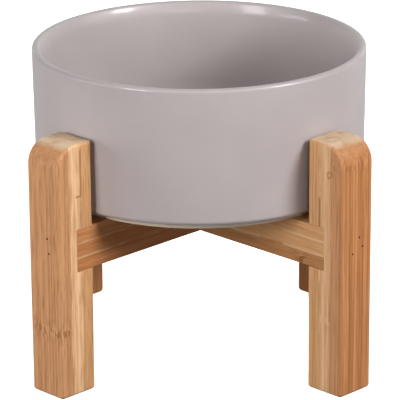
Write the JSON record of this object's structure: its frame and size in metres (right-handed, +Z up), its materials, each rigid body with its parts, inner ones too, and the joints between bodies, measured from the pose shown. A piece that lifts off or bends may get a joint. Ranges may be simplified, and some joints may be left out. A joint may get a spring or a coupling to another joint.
{
  "type": "elevated pet feeder",
  "caption": "Straight-sided ceramic bowl that lifts out of a slot-together bamboo stand, whose upright legs and crossed bars hold it at a pet's feeding height.",
  "frame": {"origin": "on the floor, under the point where the crossbars cross, which is on the bowl's axis", "axes": "+Z up, the way the bowl lifts out; +X to the right and +Y away from the viewer of the picture; the crossbars run along the diagonals of X and Y"},
  "size_m": [0.155, 0.155, 0.1476],
  "materials": {
    "glaze": "satin warm grey glaze, bare clay on the foot ring",
    "bamboo": "laminated bamboo, sanded and clear lacquered",
    "brad_steel": "dull wire",
    "foot_rubber": "matte"
  },
  "bodies": {
    "lower_frame": {"lower_crossbar": "bamboo", "leg_front_left": "bamboo", "leg_back_right": "bamboo", "brads_front_left": "brad_steel", "brads_back_right": "brad_steel", "pad_front_left": "foot_rubber", "pad_back_right": "foot_rubber"},
    "upper_frame": {"upper_crossbar": "bamboo", "leg_front_right": "bamboo", "leg_back_left": "bamboo", "brads_front_right": "brad_steel", "brads_back_left": "brad_steel", "pad_front_right": "foot_rubber", "pad_back_left": "foot_rubber"},
    "bowl": {"bowl": "glaze"}
  },
  "joints": [
    {"name": "frame_lift", "type": "slide", "parent": "lower_frame", "child": "upper_frame", "axis": [0, 0, 1], "range_m": [0, 0.06]},
    {"name": "bowl_lift", "type": "slide", "parent": "upper_frame", "child": "bowl", "axis": [0, 0, 1], "range_m": [0, 0.1]}
  ]
}
